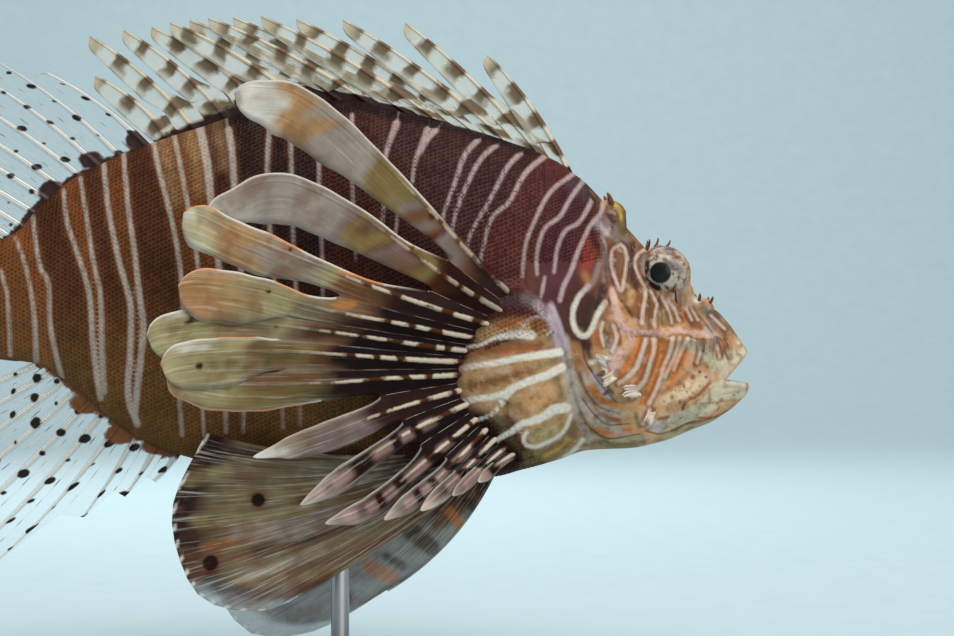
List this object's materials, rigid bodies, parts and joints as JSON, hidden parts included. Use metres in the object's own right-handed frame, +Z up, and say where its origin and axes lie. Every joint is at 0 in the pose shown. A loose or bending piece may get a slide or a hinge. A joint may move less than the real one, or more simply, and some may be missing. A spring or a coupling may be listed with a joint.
{
  "type": "red lionfish model",
  "caption": "Still, life-size model of a swimming red lionfish with its fins spread, held by one rod on a flat display base.",
  "frame": {"origin": "centre of the stand's underside, below the fish's belly", "axes": "+X towards the fish's snout, +Y towards its left side, +Z up"},
  "size_m": [0.3506, 0.1243, 0.222],
  "materials": {
    "skin": "scaled skin, damp sheen, brown bands and white lines",
    "eye": "wet and clear over a grey spotted iris",
    "fin": "thin skin between banded rays, satin",
    "clear_fin": "clear thin skin between white rays with dark spots",
    "base": "dark stained wood, satin lacquer",
    "rod": "brushed"
  },
  "bodies": {
    "root": {"head": "skin", "lower_jaw": "skin", "trunk": "skin", "tail_stalk": "skin", "eye_right": "eye", "eye_left": "eye", "pectoral_fin_right": "fin", "pectoral_fin_left": "fin", "pelvic_fin_right": "fin", "pelvic_fin_left": "fin", "dorsal_spines": "fin", "soft_dorsal_fin": "clear_fin", "anal_fin": "clear_fin", "tail_fin": "clear_fin", "stand_base": "base", "stand_rod": "rod"}
  },
  "joints": []
}
